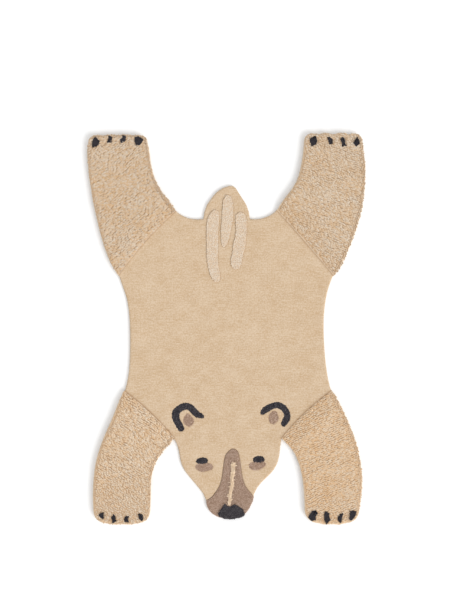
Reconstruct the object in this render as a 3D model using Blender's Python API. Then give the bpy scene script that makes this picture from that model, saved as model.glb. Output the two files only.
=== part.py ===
"""Animal shaped kids rug: a bear skin in tufted wool, lying flat, with its head towards -Y.

One ground cloth carries every area of pile. The short pile of torso, head and tail is one solid
with the cloth. Each leg is a slab of higher cut shag on it. Muzzle, nose, blaze, ears, eyes, tail
stripes and claws are areas of other yarn, let into the pile down to the cloth.

X runs across the rug and Y along it, both from its middle, and the floor is at Z = 0. Names that
end in _Z are heights above the floor. Rows of the tables are sections, in millimetres.
"""

from collections import namedtuple
import math

import bmesh
import bpy
from mathutils import Vector
from mathutils.geometry import delaunay_2d_cdt
import numpy as np

MM = 0.001

# Heights, in metres
CLOTH_Z = 0.003
PILE_Z = 0.011
BROWN_Z = 0.0135
STRIPE_Z = 0.016
BLAZE_Z = 0.0165
NOSE_Z = 0.018
SHAG_Z = 0.023
CLAW_Z = 0.0235

GAP = 0.00035          # clearance between neighbouring areas of pile
FOOT_INSET = 0.005     # the pile stands this far inside its own edge, and bulges over it
CLOTH_INSET = 0.003    # the ground cloth ends this far inside the edge of the pile
SINK = 0.0015          # depth of the short pile's foot inside the cloth it is one solid with

LOCK_PITCH = 0.026     # spacing of the locks round the rim of the shag
LOCK_POINTS = 3        # points of the outline on each lock
LOCK_REACH = 0.0035    # how far a lock stands out beyond the clefts beside it
LUMP_PITCH = 0.022     # spacing of the lumps on top of the shag
LUMP_HEIGHT = 0.0032   # how much the lumps rise and fall
LUMP_SHAKE = 0.3       # how far a lump may lie from its place on the grid, as a share of the pitch
LUMP_CLEARANCE = 0.018 # how far inside the rim the lumps start

BODY_PITCH = 0.020     # longest edge along the outlines
CLOTH_PITCH = 0.026
STRIPE_PITCH = 0.018
MUZZLE_PITCH = 0.014
FACE_PITCH = 0.010
BAND_END = 0.25        # how far a band reaches past its last row, as a share of that row's width
TOES = 4
TOE_POINTS = 6         # points of the outline on each toe
MARGIN = 0.020         # how far a cutter runs past the edge that it opens

Section = namedtuple("Section", "y left right")
Limb = namedtuple("Limb", "y outer inner")
Paw = namedtuple("Paw", "reach squareness cleft")
Band = namedtuple("Band", "x y width")
Ring = namedtuple("Ring", "inset rise")

# The pile's edge above its foot: inset from the rug's edge and rise, as shares of the pile's height
BULGE = (
    Ring(0.00, 0.45),
    Ring(0.06, 0.80),
    Ring(0.32, 1.00),
)

# Torso, from the rear legs to the front legs
FLANKS = (
    Section(212, -437, 435),
    Section(186, -429, 425),
    Section(158, -419, 416),
    Section(117, -406, 407),
    Section(55, -397, 400),
    Section(-14, -394, 399),
    Section(-96, -394, 403),
    Section(-170, -398, 411),
    Section(-215, -405, 419),
    Section(-252, -414, 428),
)

# Tail, from its root to its tip
TAIL = (
    Section(448, -95, 97),
    Section(477, -90, 93),
    Section(505, -80, 83),
    Section(534, -60, 65),
    Section(559, -39, 49),
    Section(575, -15, 39),
    Section(584, 12, 26),
)
RUMP_SAG = 0.013       # how far the rump dips between a leg and the tail

# Head, from the neck to the cheeks' lower ends
HEAD = (
    Section(-450, -213, 226),
    Section(-489, -197, 221),
    Section(-522, -191, 217),
    Section(-554, -184, 208),
    Section(-579, -172, 194),
    Section(-604, -153, 171),
    Section(-628, -133, 146),
    Section(-653, -112, 126),
    Section(-677, -94, 114),
    Section(-700, -84, 110),
    Section(-714, -81, 105),
)

# Muzzle, from its top to the rug's edge, and on down round the chin
MUZZLE = (
    Section(-492, 22, 33),
    Section(-501, 11, 46),
    Section(-519, -3, 51),
    Section(-542, -8, 55),
    Section(-571, -12, 59),
    Section(-608, -17, 65),
    Section(-636, -24, 74),
    Section(-659, -36, 88),
    Section(-688, -57, 113),
)
CHIN = (
    Section(-704, -82, 109),
    Section(-726, -79, 99),
    Section(-743, -70, 89),
    Section(-759, -53, 74),
    Section(-771, -30, 57),
    Section(-777, 2, 27),
)
NOSE = (
    Section(-718, -6, 35),
    Section(-730, -16, 54),
    Section(-743, -22, 67),
    Section(-757, -31, 75),
    Section(-768, -27, 63),
)
NOSE_NOTCH = 0.011     # dip in the middle of the nose's top edge

# Legs, from the toes to the torso. A row with no inner edge lies beside the join.
LEGS = {
    "rear_left": (
        Limb(761, -562, -322),
        Limb(730, -567, -315),
        Limb(690, -566, -310),
        Limb(649, -562, -303),
        Limb(608, -558, -290),
        Limb(567, -551, -269),
        Limb(526, -545, -238),
        Limb(480, -535, -205),
        Limb(424, -522, None),
        Limb(362, -506, None),
        Limb(305, -487, None),
        Limb(256, -466, None),
        Limb(216, -440, None),
    ),
    "rear_right": (
        Limb(761, 556, 317),
        Limb(722, 560, 314),
        Limb(669, 567, 306),
        Limb(608, 566, 290),
        Limb(567, 564, 266),
        Limb(534, 560, 240),
        Limb(484, 551, 206),
        Limb(424, 536, None),
        Limb(362, 515, None),
        Limb(305, 490, None),
        Limb(256, 469, None),
        Limb(216, 439, None),
    ),
    "front_left": (
        Limb(-735, -542, -310),
        Limb(-681, -544, -308),
        Limb(-612, -541, -306),
        Limb(-550, -533, -290),
        Limb(-497, -519, -255),
        Limb(-448, -501, -212),
        Limb(-424, -491, None),
        Limb(-366, -465, None),
        Limb(-305, -441, None),
        Limb(-254, -418, None),
    ),
    "front_right": (
        Limb(-735, 543, 320),
        Limb(-681, 551, 318),
        Limb(-612, 554, 311),
        Limb(-550, 548, 296),
        Limb(-497, 537, 271),
        Limb(-448, 524, 226),
        Limb(-424, 515, None),
        Limb(-362, 489, None),
        Limb(-305, 461, None),
        Limb(-254, 431, None),
    ),
}

# How far the middle of each join bulges towards the toes, in metres
JOIN_BOWS = {"rear_left": 0.011, "rear_right": 0.002, "front_left": -0.009, "front_right": -0.010}

# How far the toes reach past the first row of a leg, how square the paw ends, and the toes' clefts
PAWS = {
    "rear_left": Paw(0.031, 4.2, 0.006),
    "rear_right": Paw(0.038, 4.2, 0.010),
    "front_left": Paw(0.065, 3.0, 0.003),
    "front_right": Paw(0.065, 2.7, 0.004),
}

EARS = {
    "left": (
        Band(-182, -414, 21),
        Band(-190, -398, 25),
        Band(-201, -378, 26),
        Band(-207, -358, 28),
        Band(-204, -341, 27),
        Band(-192, -328, 26),
        Band(-177, -320, 25),
        Band(-161, -317, 24),
        Band(-147, -323, 24),
        Band(-133, -337, 25),
        Band(-118, -351, 24),
        Band(-105, -356, 19),
        Band(-94, -362, 9),
    ),
    "right": (
        Band(145, -347, 13),
        Band(158, -333, 23),
        Band(177, -322, 23),
        Band(193, -315, 22),
        Band(212, -313, 22),
        Band(233, -324, 23),
        Band(246, -343, 22),
        Band(249, -360, 24),
        Band(242, -377, 25),
        Band(231, -394, 17),
    ),
}
EAR_INSIDES = {
    "left": (
        Band(-157, -351, 13),
        Band(-157, -360, 27),
        Band(-156, -372, 40),
        Band(-153, -384, 39),
        Band(-153, -393, 28),
    ),
    "right": (
        Band(197, -341, 18),
        Band(195, -352, 31),
        Band(193, -366, 39),
        Band(192, -377, 35),
        Band(193, -385, 20),
    ),
}
EYES = {
    "left": (
        Band(-119, -543, 13),
        Band(-107, -540, 21),
        Band(-95, -541, 25),
        Band(-81, -539, 20),
    ),
    "right": (
        Band(114, -538, 15),
        Band(125, -535, 26),
        Band(138, -535, 26),
        Band(151, -534, 18),
    ),
}
EYE_PATCHES = {
    "left": (
        Band(-122, -564, 15),
        Band(-107, -567, 30),
        Band(-91, -567, 33),
        Band(-73, -565, 27),
        Band(-60, -565, 21),
    ),
    "right": (
        Band(98, -560, 20),
        Band(113, -562, 32),
        Band(130, -561, 31),
        Band(145, -556, 25),
        Band(157, -552, 13),
    ),
}
STRIPES = {
    "left": (
        Band(-44, 479, 17),
        Band(-47, 466, 35),
        Band(-51, 450, 43),
        Band(-55, 430, 46),
        Band(-57, 395, 44),
        Band(-57, 358, 44),
        Band(-57, 317, 42),
        Band(-57, 284, 40),
        Band(-53, 254, 38),
        Band(-47, 225, 36),
        Band(-40, 205, 28),
        Band(-36, 196, 18),
    ),
    "middle": (
        Band(8, 539, 18),
        Band(6, 526, 32),
        Band(7, 497, 38),
        Band(5, 460, 41),
        Band(2, 430, 41),
        Band(-2, 403, 37),
        Band(-4, 378, 32),
        Band(-8, 354, 24),
        Band(-11, 338, 12),
    ),
    "right": (
        Band(57, 468, 30),
        Band(59, 456, 38),
        Band(61, 432, 41),
        Band(62, 403, 39),
        Band(59, 376, 41),
        Band(55, 350, 44),
        Band(50, 321, 43),
        Band(44, 293, 40),
        Band(40, 266, 39),
        Band(39, 249, 26),
    ),
}
BLAZE = (
    Band(30, -548, 18),
    Band(27, -563, 17),
    Band(28, -585, 18),
    Band(23, -608, 15),
    Band(24, -638, 15),
    Band(18, -661, 14),
    Band(15, -687, 14),
    Band(13, -710, 11),
    Band(14, -722, 8),
)
CLAWS = {
    "rear_left": (
        (Band(-531, 775, 10), Band(-532, 767, 28), Band(-534, 755, 28), Band(-533, 744, 19)),
        (Band(-473, 778, 14), Band(-476, 770, 12), Band(-479, 760, 16)),
        (Band(-414, 780, 15), Band(-420, 773, 15), Band(-427, 763, 13)),
        (Band(-359, 777, 28), Band(-358, 767, 33), Band(-356, 757, 24)),
    ),
    "rear_right": (
        (Band(359, 778, 18), Band(356, 767, 28), Band(352, 756, 24)),
        (Band(424, 777, 11), Band(427, 767, 18), Band(429, 757, 12)),
        (Band(473, 775, 17), Band(476, 763, 12), Band(481, 748, 11)),
        (Band(533, 776, 9), Band(533, 766, 20), Band(533, 754, 25)),
    ),
    "front_left": (
        (Band(-507, -752, 10), Band(-510, -762, 15), Band(-506, -772, 8)),
        (Band(-457, -762, 6), Band(-459, -775, 10), Band(-461, -785, 12)),
        (Band(-407, -767, 7), Band(-408, -778, 12), Band(-406, -786, 15)),
        (Band(-352, -761, 14), Band(-348, -771, 18), Band(-342, -781, 8)),
    ),
    "front_right": (
        (Band(360, -748, 20), Band(354, -761, 23), Band(350, -773, 30)),
        (Band(410, -748, 11), Band(410, -761, 17), Band(410, -776, 17), Band(409, -788, 12)),
        (Band(470, -754, 8), Band(465, -765, 14), Band(465, -775, 13), Band(462, -784, 15)),
        (Band(516, -748, 22), Band(514, -758, 19), Band(512, -769, 14), Band(507, -779, 7)),
    ),
}

# Yarns: colour, roughness
YARNS = {
    "field_wool": ((0.66, 0.50, 0.34, 1.0), 0.95),
    "shag_wool": ((0.62, 0.47, 0.31, 1.0), 0.97),
    "cream_wool": ((0.74, 0.61, 0.46, 1.0), 0.95),
    "brown_wool": ((0.36, 0.24, 0.18, 1.0), 0.95),
    "dark_wool": ((0.045, 0.040, 0.045, 1.0), 0.95),
}


def clear_scene():
    for thing in list(bpy.data.objects):
        bpy.data.objects.remove(thing, do_unlink=True)


def yarn(name):
    """The material of one yarn, made once."""
    material = bpy.data.materials.get(name)
    if material is None:
        colour, roughness = YARNS[name]
        material = bpy.data.materials.new(name)
        material.use_nodes = True
        shader = material.node_tree.nodes["Principled BSDF"]
        shader.inputs["Base Color"].default_value = colour
        shader.inputs["Roughness"].default_value = roughness
        shader.inputs["Metallic"].default_value = 0.0
    return material


# Curves and outlines, as arrays of points in metres

def metres(points):
    return np.array(points, float) * MM


def smooth_curve(points, pitch):
    """Points about a pitch apart, on a Catmull-Rom curve through the given ones."""
    points = np.asarray(points, float)
    before = 2 * points[0] - points[1]
    after = 2 * points[-1] - points[-2]
    knots = np.vstack([before, points, after])
    curve = []
    for a, b, c, d in zip(knots, knots[1:], knots[2:], knots[3:]):
        steps = max(1, round(float(np.linalg.norm(c - b)) / pitch))
        for t in np.arange(steps) / steps:
            pull = (c - a) * t
            bend = (2 * a - 5 * b + 4 * c - d) * t**2
            swing = (3 * b - a - 3 * c + d) * t**3
            curve.append(b + (pull + bend + swing) / 2)
    curve.append(points[-1])
    return np.array(curve)


def chained(*stretches):
    """One closed outline from stretches that meet end to end."""
    outline = [stretches[0][0]]
    for stretch in stretches:
        for point in stretch:
            if np.linalg.norm(point - outline[-1]) > GAP:
                outline.append(point)
    if np.linalg.norm(outline[0] - outline[-1]) <= GAP:
        outline.pop()
    return anticlockwise(np.array(outline))


def signed_area(outline):
    """Twice the area inside an outline, negative if it runs clockwise."""
    after = np.roll(outline, -1, axis=0)
    return float(np.sum(outline[:, 0] * after[:, 1] - outline[:, 1] * after[:, 0]))


def anticlockwise(outline):
    return outline if signed_area(outline) > 0 else outline[::-1]


def outward(outline):
    """Unit normals of an anticlockwise outline, at its points."""
    edges = np.roll(outline, -1, axis=0) - outline
    edges /= np.linalg.norm(edges, axis=1)[:, None]
    sides = np.stack([edges[:, 1], -edges[:, 0]], axis=1)
    normals = sides + np.roll(sides, 1, axis=0)
    return normals / np.maximum(np.linalg.norm(normals, axis=1), 0.3)[:, None]


def grown(outline, distance):
    return outline + outward(outline) * np.reshape(distance, (-1, 1))


def evenly(line, pitch):
    """The same line from end to end, with its points one pitch apart."""
    lengths = np.linalg.norm(np.diff(line, axis=0), axis=1)
    along = np.concatenate([[0.0], np.cumsum(lengths)])
    places = np.linspace(0.0, along[-1], round(along[-1] / pitch) + 1)
    return np.stack([np.interp(places, along, line[:, axis]) for axis in (0, 1)], axis=1)


def bowed(start, end, bow, pitch):
    """A shallow arc between two points, which bulges to the left of its direction."""
    start = np.asarray(start, float)
    run = np.asarray(end, float) - start
    side = np.array([-run[1], run[0]]) / np.linalg.norm(run)
    steps = max(2, round(float(np.linalg.norm(run)) / pitch))
    shares = np.arange(steps + 1) / steps
    return np.array([start + run * t + side * 4 * bow * t * (1 - t) for t in shares])


def left_edge(sections, pitch):
    return smooth_curve(metres([(row.left, row.y) for row in sections]), pitch)


def right_edge(sections, pitch):
    return smooth_curve(metres([(row.right, row.y) for row in sections]), pitch)


def band_outline(rows, pitch):
    """A curved band with the width of each row, tapered to its two ends."""
    spine = smooth_curve([(row.x, row.y, row.width) for row in rows], pitch / MM) * MM
    ahead = np.gradient(spine[:, :2], axis=0)
    ahead /= np.linalg.norm(ahead, axis=1)[:, None]
    side = np.stack([-ahead[:, 1], ahead[:, 0]], axis=1) * spine[:, 2:] / 2
    start = spine[0, :2] - ahead[0] * spine[0, 2] * BAND_END
    end = spine[-1, :2] + ahead[-1] * spine[-1, 2] * BAND_END
    left = spine[:, :2] + side
    right = spine[:, :2] - side
    return anticlockwise(np.vstack([start, left, end, right[::-1]]))


# The rug's edges, shared by the pile and the cloth under it

def limb_edges(leg, pitch):
    """Outer edge from the torso to the toes, toes, and inner edge back to the torso."""
    rows = LEGS[leg]
    outer = smooth_curve(metres([(row.outer, row.y) for row in rows])[::-1], pitch)
    inner = smooth_curve(metres([(row.inner, row.y) for row in rows if row.inner is not None]), pitch)
    return outer, toe_line(leg, outer[-1], inner[0]), inner


def toe_line(leg, start, end):
    """The end of a paw: a flat arch over four toes, with a cleft between each two."""
    paw = PAWS[leg]
    steps = TOES * TOE_POINTS
    forward = math.copysign(1.0, LEGS[leg][0].y)
    line = []
    for share in np.arange(steps + 1) / steps:
        across = (1 - math.cos(math.pi * share)) / 2
        rise = (1 - abs(2 * across - 1) ** paw.squareness) ** (1 / paw.squareness)
        toe = abs(math.sin(TOES * math.pi * across))
        reach = (paw.reach - paw.cleft * (1 - toe) ** 2) * rise
        line.append(start + (end - start) * across + np.array([0.0, forward * reach]))
    return np.array(line)


def join_line(leg, pitch):
    """The line along which a leg meets the torso, from its inner end to its outer end."""
    rows = [row for row in LEGS[leg] if row.inner is not None]
    inner_end = metres((rows[-1].inner, rows[-1].y))
    outer_end = metres((LEGS[leg][-1].outer, LEGS[leg][-1].y))
    toes = metres((LEGS[leg][0].outer, LEGS[leg][0].y))
    run = outer_end - inner_end
    reach = toes - inner_end
    towards_toes = math.copysign(1.0, run[0] * reach[1] - run[1] * reach[0])
    return bowed(inner_end, outer_end, towards_toes * JOIN_BOWS[leg], pitch)


def rump_line(leg, pitch):
    """From a rear leg's inner end to the root of the tail."""
    start = join_line(leg, pitch)[0]
    root = TAIL[0]
    end = metres((root.left if start[0] < 0 else root.right, root.y))
    return bowed(start, end, math.copysign(RUMP_SAG, start[0]), pitch)


def leg_outline(leg):
    """A leg's edge, and how far its locks stand out or in at each point: not at all at the join."""
    rim = np.vstack(limb_edges(leg, BODY_PITCH))
    rim = evenly(rim, LOCK_PITCH / LOCK_POINTS)
    wave = np.abs(np.sin(np.arange(len(rim)) * math.pi / LOCK_POINTS))
    reach = LOCK_REACH * (wave - 0.5)
    reach[[0, -1]] = 0.0
    join = join_line(leg, BODY_PITCH)[1:-1]
    outline = np.vstack([rim, join])
    reach = np.concatenate([reach, np.zeros(len(join))])
    if signed_area(outline) < 0:
        outline = outline[::-1]
        reach = reach[::-1]
    return outline, reach


def field_outline(pitch):
    """Torso, tail and head down to the cheeks, clear of the legs by the gap."""
    left_flank = left_edge(FLANKS, pitch)
    right_flank = right_edge(FLANKS, pitch)[::-1]
    return chained(
        left_edge(TAIL, pitch)[::-1],
        rump_line("rear_left", pitch)[::-1],
        join_line("rear_left", pitch),
        left_flank,
        join_line("front_left", pitch)[::-1],
        left_edge(HEAD, pitch),
        right_edge(HEAD, pitch)[::-1],
        join_line("front_right", pitch),
        right_flank,
        join_line("rear_right", pitch)[::-1],
        rump_line("rear_right", pitch),
        right_edge(TAIL, pitch),
    )


def cloth_outline(pitch):
    """The whole rug's edge, round tail, legs and chin."""
    stretches = [left_edge(TAIL, pitch)[::-1], rump_line("rear_left", pitch)[::-1]]
    outer, toes, inner = limb_edges("rear_left", pitch)
    stretches += [inner[::-1], toes[::-1], outer[::-1], left_edge(FLANKS, pitch)]
    stretches += limb_edges("front_left", pitch)
    stretches += [left_edge(HEAD[:-1], pitch), left_edge(CHIN, pitch)]
    stretches += [right_edge(CHIN, pitch)[::-1], right_edge(HEAD[:-1], pitch)[::-1]]
    outer, toes, inner = limb_edges("front_right", pitch)
    stretches += [inner[::-1], toes[::-1], outer[::-1], right_edge(FLANKS, pitch)[::-1]]
    stretches += limb_edges("rear_right", pitch)
    stretches += [rump_line("rear_right", pitch), right_edge(TAIL, pitch)]
    return chained(*stretches)


def muzzle_outline(pitch, beyond=0.0):
    """The muzzle down to the chin, whose stretch along the rug's edge may run beyond it."""
    wider = beyond / MM
    lower = wider * (MUZZLE[-1].y - CHIN[0].y) / (MUZZLE[-1].left - CHIN[0].left)
    chin = [Section(row.y - lower, row.left - wider, row.right + wider) for row in CHIN]
    return chained(
        left_edge(MUZZLE, pitch),
        left_edge(chin, pitch),
        right_edge(chin, pitch)[::-1],
        right_edge(MUZZLE, pitch)[::-1],
    )


def nose_outline(pitch):
    """The nose, with a notch in its top, and its lower edge on the rug's edge."""
    top = NOSE[0]
    lowest = NOSE[-1]
    left = left_edge(NOSE, pitch)
    right = right_edge(NOSE, pitch)[::-1]
    drop = (lowest.y - CHIN[-1].y) * MM
    middle = (top.left + top.right) / 2
    notch = metres([(top.right, top.y), (middle, top.y - NOSE_NOTCH / MM), (top.left, top.y)])
    return chained(left, bowed(left[-1], right[0], -drop, pitch), right, smooth_curve(notch, pitch))


# Solids

def inlay_profile(base_z, top_z, rounding):
    """Insets and heights up the edge of an area of pile: an upright side and a rounded top."""
    return (
        (0.0, base_z),
        (0.0, top_z - rounding),
        (rounding * 0.3, top_z - rounding * 0.3),
        (rounding, top_z),
    )


def edge_profile(base_z, top_z):
    """The same for pile at the rug's rim, which bulges out over its foot."""
    height = top_z - base_z
    bulge = [(ring.inset * height, base_z + ring.rise * height) for ring in BULGE]
    return [(FOOT_INSET, base_z)] + bulge


def link(name, mesh, material):
    thing = bpy.data.objects.new(name, mesh)
    bpy.context.collection.objects.link(thing)
    mesh.materials.append(yarn(material))
    mesh.shade_smooth()
    mesh.set_sharp_from_angle(angle=math.radians(40))
    return thing


def slab(name, outline, profile, material, lumps=None):
    """A closed slab: one ring of points for each row of the profile, and two caps.

    lumps gives the points inside the top, if it isn't flat.
    """
    form = bmesh.new()
    rings = []
    for inset, z in profile:
        places = grown(outline, -np.asarray(inset))
        rings.append([form.verts.new((x, y, z)) for x, y in places])
    count = len(outline)
    for lower, upper in zip(rings, rings[1:]):
        for i in range(count):
            j = (i + 1) % count
            form.faces.new((lower[i], lower[j], upper[j], upper[i]))
    form.faces.new(rings[0][::-1])
    if lumps is None:
        form.faces.new(rings[-1])
    else:
        lumpy_cap(form, rings[-1], lumps)
    mesh = bpy.data.meshes.new(name)
    form.to_mesh(mesh)
    form.free()
    return link(name, mesh, material)


def lumpy_cap(form, rim, lumps):
    """Triangles between the rim and the lumps inside it."""
    flat = [v.co.to_2d() for v in rim] + [lump.to_2d() for lump in lumps]
    ring = [list(range(len(rim)))]
    places, _, faces, sources, _, _ = delaunay_2d_cdt(flat, [], ring, 1, 1e-6)
    corners = []
    for place, source in zip(places, sources):
        first = min(source)
        if first < len(rim):
            corners.append(rim[first])
        else:
            corners.append(form.verts.new((place.x, place.y, lumps[first - len(rim)].z)))
    for face in faces:
        form.faces.new([corners[i] for i in face])


def cutter(name, outline, base_z, top_z):
    """A hidden prism that cuts the pocket for an area of other yarn."""
    thing = slab(name, outline, ((0.0, base_z), (0.0, top_z)), "dark_wool")
    thing.hide_render = True
    thing.display_type = "WIRE"
    return thing


def add_boolean(thing, other, operation):
    boolean = thing.modifiers.new(other.name, "BOOLEAN")
    boolean.operation = operation
    boolean.solver = "EXACT"
    boolean.object = other


def cut_pocket(thing, name, outline, top_z=PILE_Z):
    add_boolean(thing, cutter("pocket_" + name, outline, 0.0, top_z + 0.01), "DIFFERENCE")


def inlay(name, outline, top_z, material, rounding=0.0025):
    """An area of yarn let into a pocket of the same outline, from the cloth up."""
    profile = inlay_profile(CLOTH_Z + GAP, top_z, rounding)
    return slab(name, grown(outline, -GAP), profile, material)


def inlays_in_field():
    """Name, outline, height and yarn of each area that is let into the short pile."""
    rows = []
    for side, bands in EARS.items():
        rows.append(("ear_" + side, band_outline(bands, FACE_PITCH), PILE_Z, "dark_wool"))
    for side, bands in EAR_INSIDES.items():
        rows.append(("ear_inside_" + side, band_outline(bands, FACE_PITCH), PILE_Z, "brown_wool"))
    for side, bands in EYES.items():
        rows.append(("eye_" + side, band_outline(bands, FACE_PITCH), PILE_Z, "dark_wool"))
    for side, bands in STRIPES.items():
        rows.append(("stripe_" + side, band_outline(bands, STRIPE_PITCH), STRIPE_Z, "cream_wool"))
    return rows


def build_field():
    """Short pile of torso, tail and head, with its pockets, in one solid with the cloth."""
    outline = grown(field_outline(BODY_PITCH), -GAP)
    field = slab("field", outline, edge_profile(CLOTH_Z - SINK, PILE_Z), "field_wool")
    for name, edge, top_z, material in inlays_in_field():
        cut_pocket(field, name, edge)
        inlay(name, edge, top_z, material)
    for side, bands in EYE_PATCHES.items():
        edge = band_outline(bands, FACE_PITCH)
        cut_pocket(field, "eye_patch_" + side, edge)
        patch = inlay("eye_patch_" + side, edge, PILE_Z, "brown_wool")
        add_boolean(patch, bpy.data.objects["pocket_eye_" + side], "DIFFERENCE")
    cut_pocket(field, "muzzle", muzzle_outline(MUZZLE_PITCH, beyond=MARGIN))
    field.hide_render = True
    field.display_type = "WIRE"

    cloth_edge = grown(cloth_outline(CLOTH_PITCH), -CLOTH_INSET)
    ground = slab("ground", cloth_edge, ((0.0, 0.0), (0.0, CLOTH_Z)), "field_wool")
    add_boolean(ground, field, "UNION")


def build_muzzle():
    """Brown muzzle, cut by the cream blaze down its middle and the dark nose at its end."""
    edge = muzzle_outline(MUZZLE_PITCH)
    muzzle = inlay("muzzle", edge, BROWN_Z, "brown_wool", rounding=0.003)
    blaze_edge = band_outline(BLAZE, MUZZLE_PITCH)
    cut_pocket(muzzle, "blaze", blaze_edge, BROWN_Z)
    inlay("blaze", blaze_edge, BLAZE_Z, "cream_wool", rounding=0.002)
    nose_edge = nose_outline(FACE_PITCH)
    cut_pocket(muzzle, "nose", nose_edge, BROWN_Z)
    cut_pocket(muzzle, "nose_rim", nose_edge + np.array([MARGIN / 2, -MARGIN]), BROWN_Z)
    inlay("nose", nose_edge, NOSE_Z, "dark_wool", rounding=0.004)


def lumps_inside(outline, clearance, seed):
    """Seeded high and low points on a shaken grid, inside the outline by the clearance."""
    chance = np.random.default_rng(seed)
    edge = grown(outline, -clearance)
    low = edge.min(axis=0)
    high = edge.max(axis=0)
    lumps = []
    for x in np.arange(low[0], high[0], LUMP_PITCH):
        for y in np.arange(low[1], high[1], LUMP_PITCH):
            place = np.array([x, y]) + chance.uniform(-LUMP_SHAKE, LUMP_SHAKE, 2) * LUMP_PITCH
            rise = chance.uniform(-0.5, 0.5) * LUMP_HEIGHT
            if inside(edge, place):
                lumps.append(Vector((place[0], place[1], SHAG_Z + rise)))
    return lumps


def inside(outline, point):
    after = np.roll(outline, -1, axis=0)
    straddles = (outline[:, 1] > point[1]) != (after[:, 1] > point[1])
    rise = np.where(straddles, after[:, 1] - outline[:, 1], 1.0)
    crossing = outline[:, 0] + (point[1] - outline[:, 1]) / rise * (after[:, 0] - outline[:, 0])
    return bool(np.sum(straddles & (crossing > point[0])) % 2)


def build_leg(leg, seed):
    """One slab of cut shag with locks at its rim, and four claws let into its paw."""
    outline, reach = leg_outline(leg)
    foot, *bulge = edge_profile(CLOTH_Z + GAP, SHAG_Z)
    profile = [foot] + [(inset - reach, z) for inset, z in bulge]
    lumps = lumps_inside(outline, LUMP_CLEARANCE, seed)
    shag = slab("leg_" + leg, outline, profile, "shag_wool", lumps)
    for number, bands in enumerate(CLAWS[leg], start=1):
        name = f"claw_{leg}_{number}"
        edge = band_outline(bands, FACE_PITCH)
        cut_pocket(shag, name, edge, SHAG_Z)
        inlay(name, edge, CLAW_Z, "dark_wool", rounding=0.002)


clear_scene()
build_field()
build_muzzle()
for number, leg_name in enumerate(LEGS):
    build_leg(leg_name, seed=number)
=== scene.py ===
"""Animal shaped kids rug: a bear skin in hand-tufted wool, lying flat, seen from straight above.

X runs across the rug and Y along it, with its head towards -Y, and the floor is at Z = 0. All sizes
are in metres.
"""

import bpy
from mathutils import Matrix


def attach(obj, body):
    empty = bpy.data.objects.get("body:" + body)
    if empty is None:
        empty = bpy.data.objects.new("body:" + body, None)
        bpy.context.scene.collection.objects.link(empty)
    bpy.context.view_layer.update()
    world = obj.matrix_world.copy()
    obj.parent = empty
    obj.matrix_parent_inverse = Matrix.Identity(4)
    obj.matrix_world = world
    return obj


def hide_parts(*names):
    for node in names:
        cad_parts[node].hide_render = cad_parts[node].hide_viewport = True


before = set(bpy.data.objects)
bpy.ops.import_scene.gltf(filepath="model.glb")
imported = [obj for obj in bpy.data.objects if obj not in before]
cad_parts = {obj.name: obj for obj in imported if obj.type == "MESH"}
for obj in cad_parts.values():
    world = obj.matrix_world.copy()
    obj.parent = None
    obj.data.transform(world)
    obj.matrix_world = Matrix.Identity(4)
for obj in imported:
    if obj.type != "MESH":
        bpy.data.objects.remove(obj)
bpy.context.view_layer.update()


# ---- Ground cloth --------------------------------------------------------------------------
# A flat cotton canvas under the whole rug, cut to its outline. Every area of yarn is tufted
# through it and held by its own loops, and nothing else lies between them and the floor.

import math

import bmesh
import bpy
import numpy as np
from mathutils import Vector
from mathutils.geometry import delaunay_2d_cdt

CLOTH_THICK = 0.003
CLOTH_PITCH = 0.03
WELD = 1e-5              # vertices of a solid nearer to each other than this are one
NEAR = 0.001             # and points of a line nearer than this
FAR = 0.02               # distances past this aren't worked out
AT_A_TIME = 2000         # points whose distances are worked out together
CANVAS_DARK = (0.36, 0.30, 0.22, 1.0)
CANVAS_LIGHT = (0.62, 0.55, 0.43, 1.0)
THREADS_PER_METRE = 420.0


def edges_at(node, height):
    """Closed lines along which a solid's surface crosses a height, anticlockwise, longest first."""
    form = bmesh.new()
    form.from_mesh(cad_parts[node].data)
    bmesh.ops.remove_doubles(form, verts=form.verts, dist=WELD)
    parts = form.verts[:] + form.edges[:] + form.faces[:]
    cut = bmesh.ops.bisect_plane(
        form, geom=parts, dist=1e-7, plane_co=(0, 0, height), plane_no=(0, 0, 1)
    )
    form.verts.index_update()
    ahead = {}
    for edge in cut["geom_cut"]:
        if isinstance(edge, bmesh.types.BMEdge):
            here, there = (vertex.index for vertex in edge.verts)
            ahead.setdefault(here, []).append(there)
            ahead.setdefault(there, []).append(here)
    places = {v.index: (v.co.x, v.co.y) for v in form.verts if v.index in ahead}
    form.free()
    loops = []
    left = dict.fromkeys(ahead)
    while left:
        walk = [next(iter(left))]
        del left[walk[0]]
        while onward := [i for i in ahead[walk[-1]] if i in left]:
            walk.append(onward[0])
            del left[onward[0]]
        loop = [places[walk[0]]]
        for i in walk[1:]:
            if math.dist(places[i], loop[-1]) > NEAR and math.dist(places[i], loop[0]) > NEAR:
                loop.append(places[i])
        loop = np.array(loop)
        loops.append(loop if twice_area(loop) > 0 else loop[::-1])
    return sorted(loops, key=lambda loop: -np.ptp(loop, axis=0).sum())


def twice_area(loop):
    after = np.roll(loop, -1, axis=0)
    return float(np.sum(loop[:, 0] * after[:, 1] - loop[:, 1] * after[:, 0]))


def moved_out(loop, distance):
    """A loop moved outwards along its normals, or inwards if the distance is negative."""
    run = np.roll(loop, -1, axis=0) - loop
    run /= np.maximum(np.linalg.norm(run, axis=1), 1e-9)[:, None]
    side = np.stack([run[:, 1], -run[:, 0]], axis=1)
    normal = side + np.roll(side, 1, axis=0)
    return loop + distance * normal / np.maximum(np.linalg.norm(normal, axis=1), 0.3)[:, None]


def evenly(loop, step):
    """A closed line with points added, so that they are at most a step apart."""
    points = []
    for here, there in zip(loop, np.roll(loop, -1, axis=0)):
        parts = math.ceil(math.dist(here, there) / step)
        points += [here + (there - here) * i / parts for i in range(parts)]
    return np.array(points)


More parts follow.
